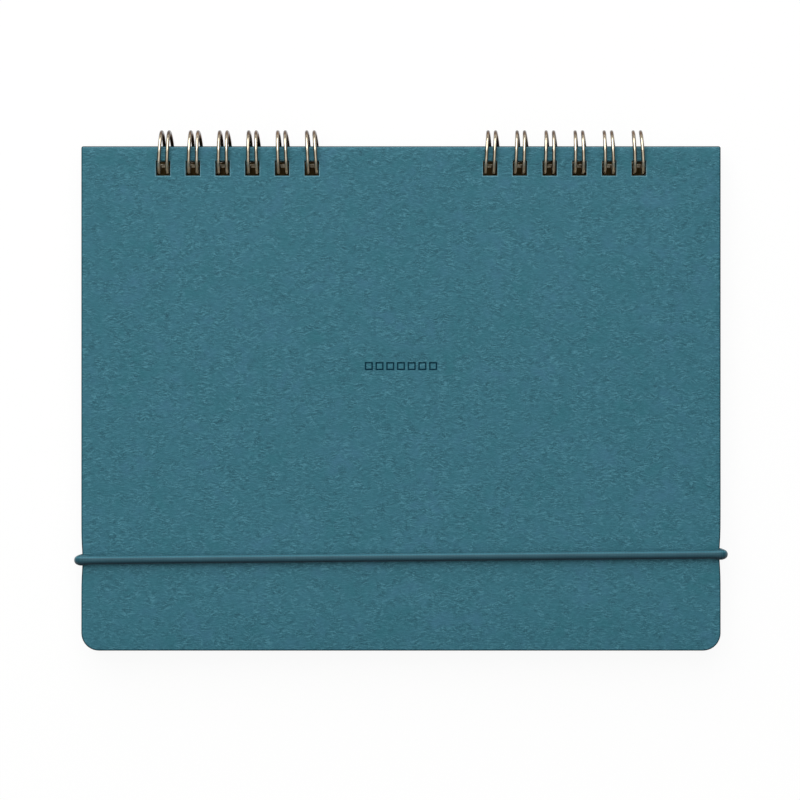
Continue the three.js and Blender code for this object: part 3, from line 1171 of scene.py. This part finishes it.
# %% Floor
FLOOR_SIZE = 30.0
FLOOR_OWN_WHITE = 0.92
HIDDEN_INSET = 3 * MM
WHITE = linear("#ffffff")

bpy.ops.object.select_all(action="DESELECT")
bpy.ops.mesh.primitive_plane_add(size=FLOOR_SIZE, location=(0, 0, 0))
floor = bpy.context.object
floor.name = "floor"


def make_floor_material():
    material, tree, shader = new_material("white_ground")
    shader.inputs["Roughness"].default_value = 0.9
    shader.inputs["Specular IOR Level"].default_value = 0.0
    rays = add_node(tree, "LightPath").outputs
    seen = 0.0
    for ray in ("Is Camera Ray", "Is Glossy Ray", "Is Transmission Ray"):
        seen = add_node(tree, "Math", "MAXIMUM", in0=seen, in1=rays[ray]).outputs[0]

    place = add_node(tree, "TexCoord").outputs["Object"]
    across, along, _ = add_node(tree, "SeparateXYZ", Vector=place).outputs
    from_middle = add_node(tree, "Math", "ABSOLUTE", in0=across).outputs[0]
    # Mask of the painted shade: 0 in a strip under the binding, where the floor loses its own white and
    # turns brown.
    uncovered = 0.0
    for operation, value, limit in (
        ("GREATER_THAN", from_middle, BACK_HIGH.x - HIDDEN_INSET),
        ("LESS_THAN", along, HOLE_FOOT - HIDDEN_INSET),
        ("GREATER_THAN", along, BACK_HIGH.y - HIDDEN_INSET),
    ):
        past = add_node(tree, "Math", operation, in0=value, in1=limit).outputs[0]
        uncovered = add_node(tree, "Math", "MAXIMUM", in0=uncovered, in1=past).outputs[0]
    seen_white = add_node(tree, "Math", "MULTIPLY", in0=seen, in1=uncovered).outputs[0]
    own = add_node(tree, "Math", "MULTIPLY", in0=seen_white, in1=FLOOR_OWN_WHITE).outputs[0]
    # Painted shade: the brown of the floor under the binding, seen through the holes.
    painted_shade_brown = linear("#8a7048")
    ground = add_node(tree, "Mix", COLOUR_MIX, in0=uncovered, in6=painted_shade_brown, in7=linear("#fdfdfc")).outputs[2]
    tree.links.new(ground, shader.inputs["Base Color"])
    glow = add_node(tree, "Emission", Color=WHITE, Strength=1.0).outputs[0]
    blended = add_node(tree, "MixShader", in0=own, in1=shader.outputs[0], in2=glow).outputs[0]
    output = next(node for node in tree.nodes if node.type == "OUTPUT_MATERIAL")
    tree.links.new(blended, output.inputs["Surface"])
    return material


floor.data.materials.append(make_floor_material())
floor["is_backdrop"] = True
print("floor", FLOOR_SIZE, "m")

# %% World
DOME_STRENGTH = 0.8
DOME_SIDE = 0.12
STRIP_FROM = 0.4
STRIP_TO = 0.8
NEAR_FROM = -0.96
NEAR_TO = -0.6
NEAR_SHARE = 0.15
HORIZON_FROM = 0.05
HORIZON_TO = 0.3
HORIZON_SHARE = 0.1

world = bpy.data.worlds.new("studio")
bpy.context.scene.world = world
world.use_nodes = True
world_tree = world.node_tree
world_tree.nodes.clear()
direction = add_node(world_tree, "TexCoord").outputs["Generated"]
sideways, ahead, upward = add_node(world_tree, "SeparateXYZ", Vector=direction).outputs
from_strip = add_node(world_tree, "Math", "ABSOLUTE", in0=sideways).outputs[0]
strength = 1.0
for value, start, end, low, high in (
    (from_strip, STRIP_FROM, STRIP_TO, DOME_STRENGTH, DOME_SIDE),
    (ahead, NEAR_FROM, NEAR_TO, NEAR_SHARE, 1.0),
    (upward, HORIZON_FROM, HORIZON_TO, HORIZON_SHARE, 1.0),
):
    share = add_node(
        world_tree, "MapRange", SOFT_STEP, Value=value, From_Min=start, From_Max=end, To_Min=low, To_Max=high
    ).outputs[0]
    strength = add_node(world_tree, "Math", "MULTIPLY", in0=strength, in1=share).outputs[0]
camera_ray = add_node(world_tree, "LightPath").outputs["Is Camera Ray"]
shown = add_node(world_tree, "Math", "MAXIMUM", in0=strength, in1=camera_ray).outputs[0]
dome = add_node(world_tree, "Background", Color=WHITE, Strength=shown).outputs[0]
add_node(world_tree, "OutputWorld", Surface=dome)
bpy.context.scene.view_settings.view_transform = "Standard"
print("dome", DOME_STRENGTH, "overhead,", DOME_SIDE, "at the sides")

# %% Lamp
KEY_TILT = math.radians(46)
KEY_TURN = math.radians(18)
KEY_DISTANCE = 1.3
KEY_WIDTH = 1.4
KEY_DEPTH = 1.7
KEY_POWER = 16.2

key_way = Matrix.Rotation(KEY_TURN, 3, "Z") @ Vector((0, math.sin(KEY_TILT), math.cos(KEY_TILT)))
bpy.ops.object.light_add(type="AREA", location=key_way * KEY_DISTANCE)
key = bpy.context.object
key.name = "key_softbox"
key.rotation_euler = key_way.to_track_quat("Z", "Y").to_euler()
key.data.shape = "RECTANGLE"
key.data.size = KEY_WIDTH
key.data.size_y = KEY_DEPTH
key.data.energy = KEY_POWER
print("lamp:", KEY_POWER, "W")

# %% [markdown]
# The box of the dressed calendar and that of the imported one are both printed. The dressed calendar
# has to stay the size of the imported one.

# %% Print both boxes
visual_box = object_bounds()
sizes = {
    "cad": [list(corner_point) for corner_point in cad_box],
    "visual": [list(corner_point) for corner_point in visual_box],
}
print("CAD box    ", [[round(v / MM, 2) for v in c] for c in sizes["cad"]])
print("visual box ", [[round(v / MM, 2) for v in c] for c in sizes["visual"]])
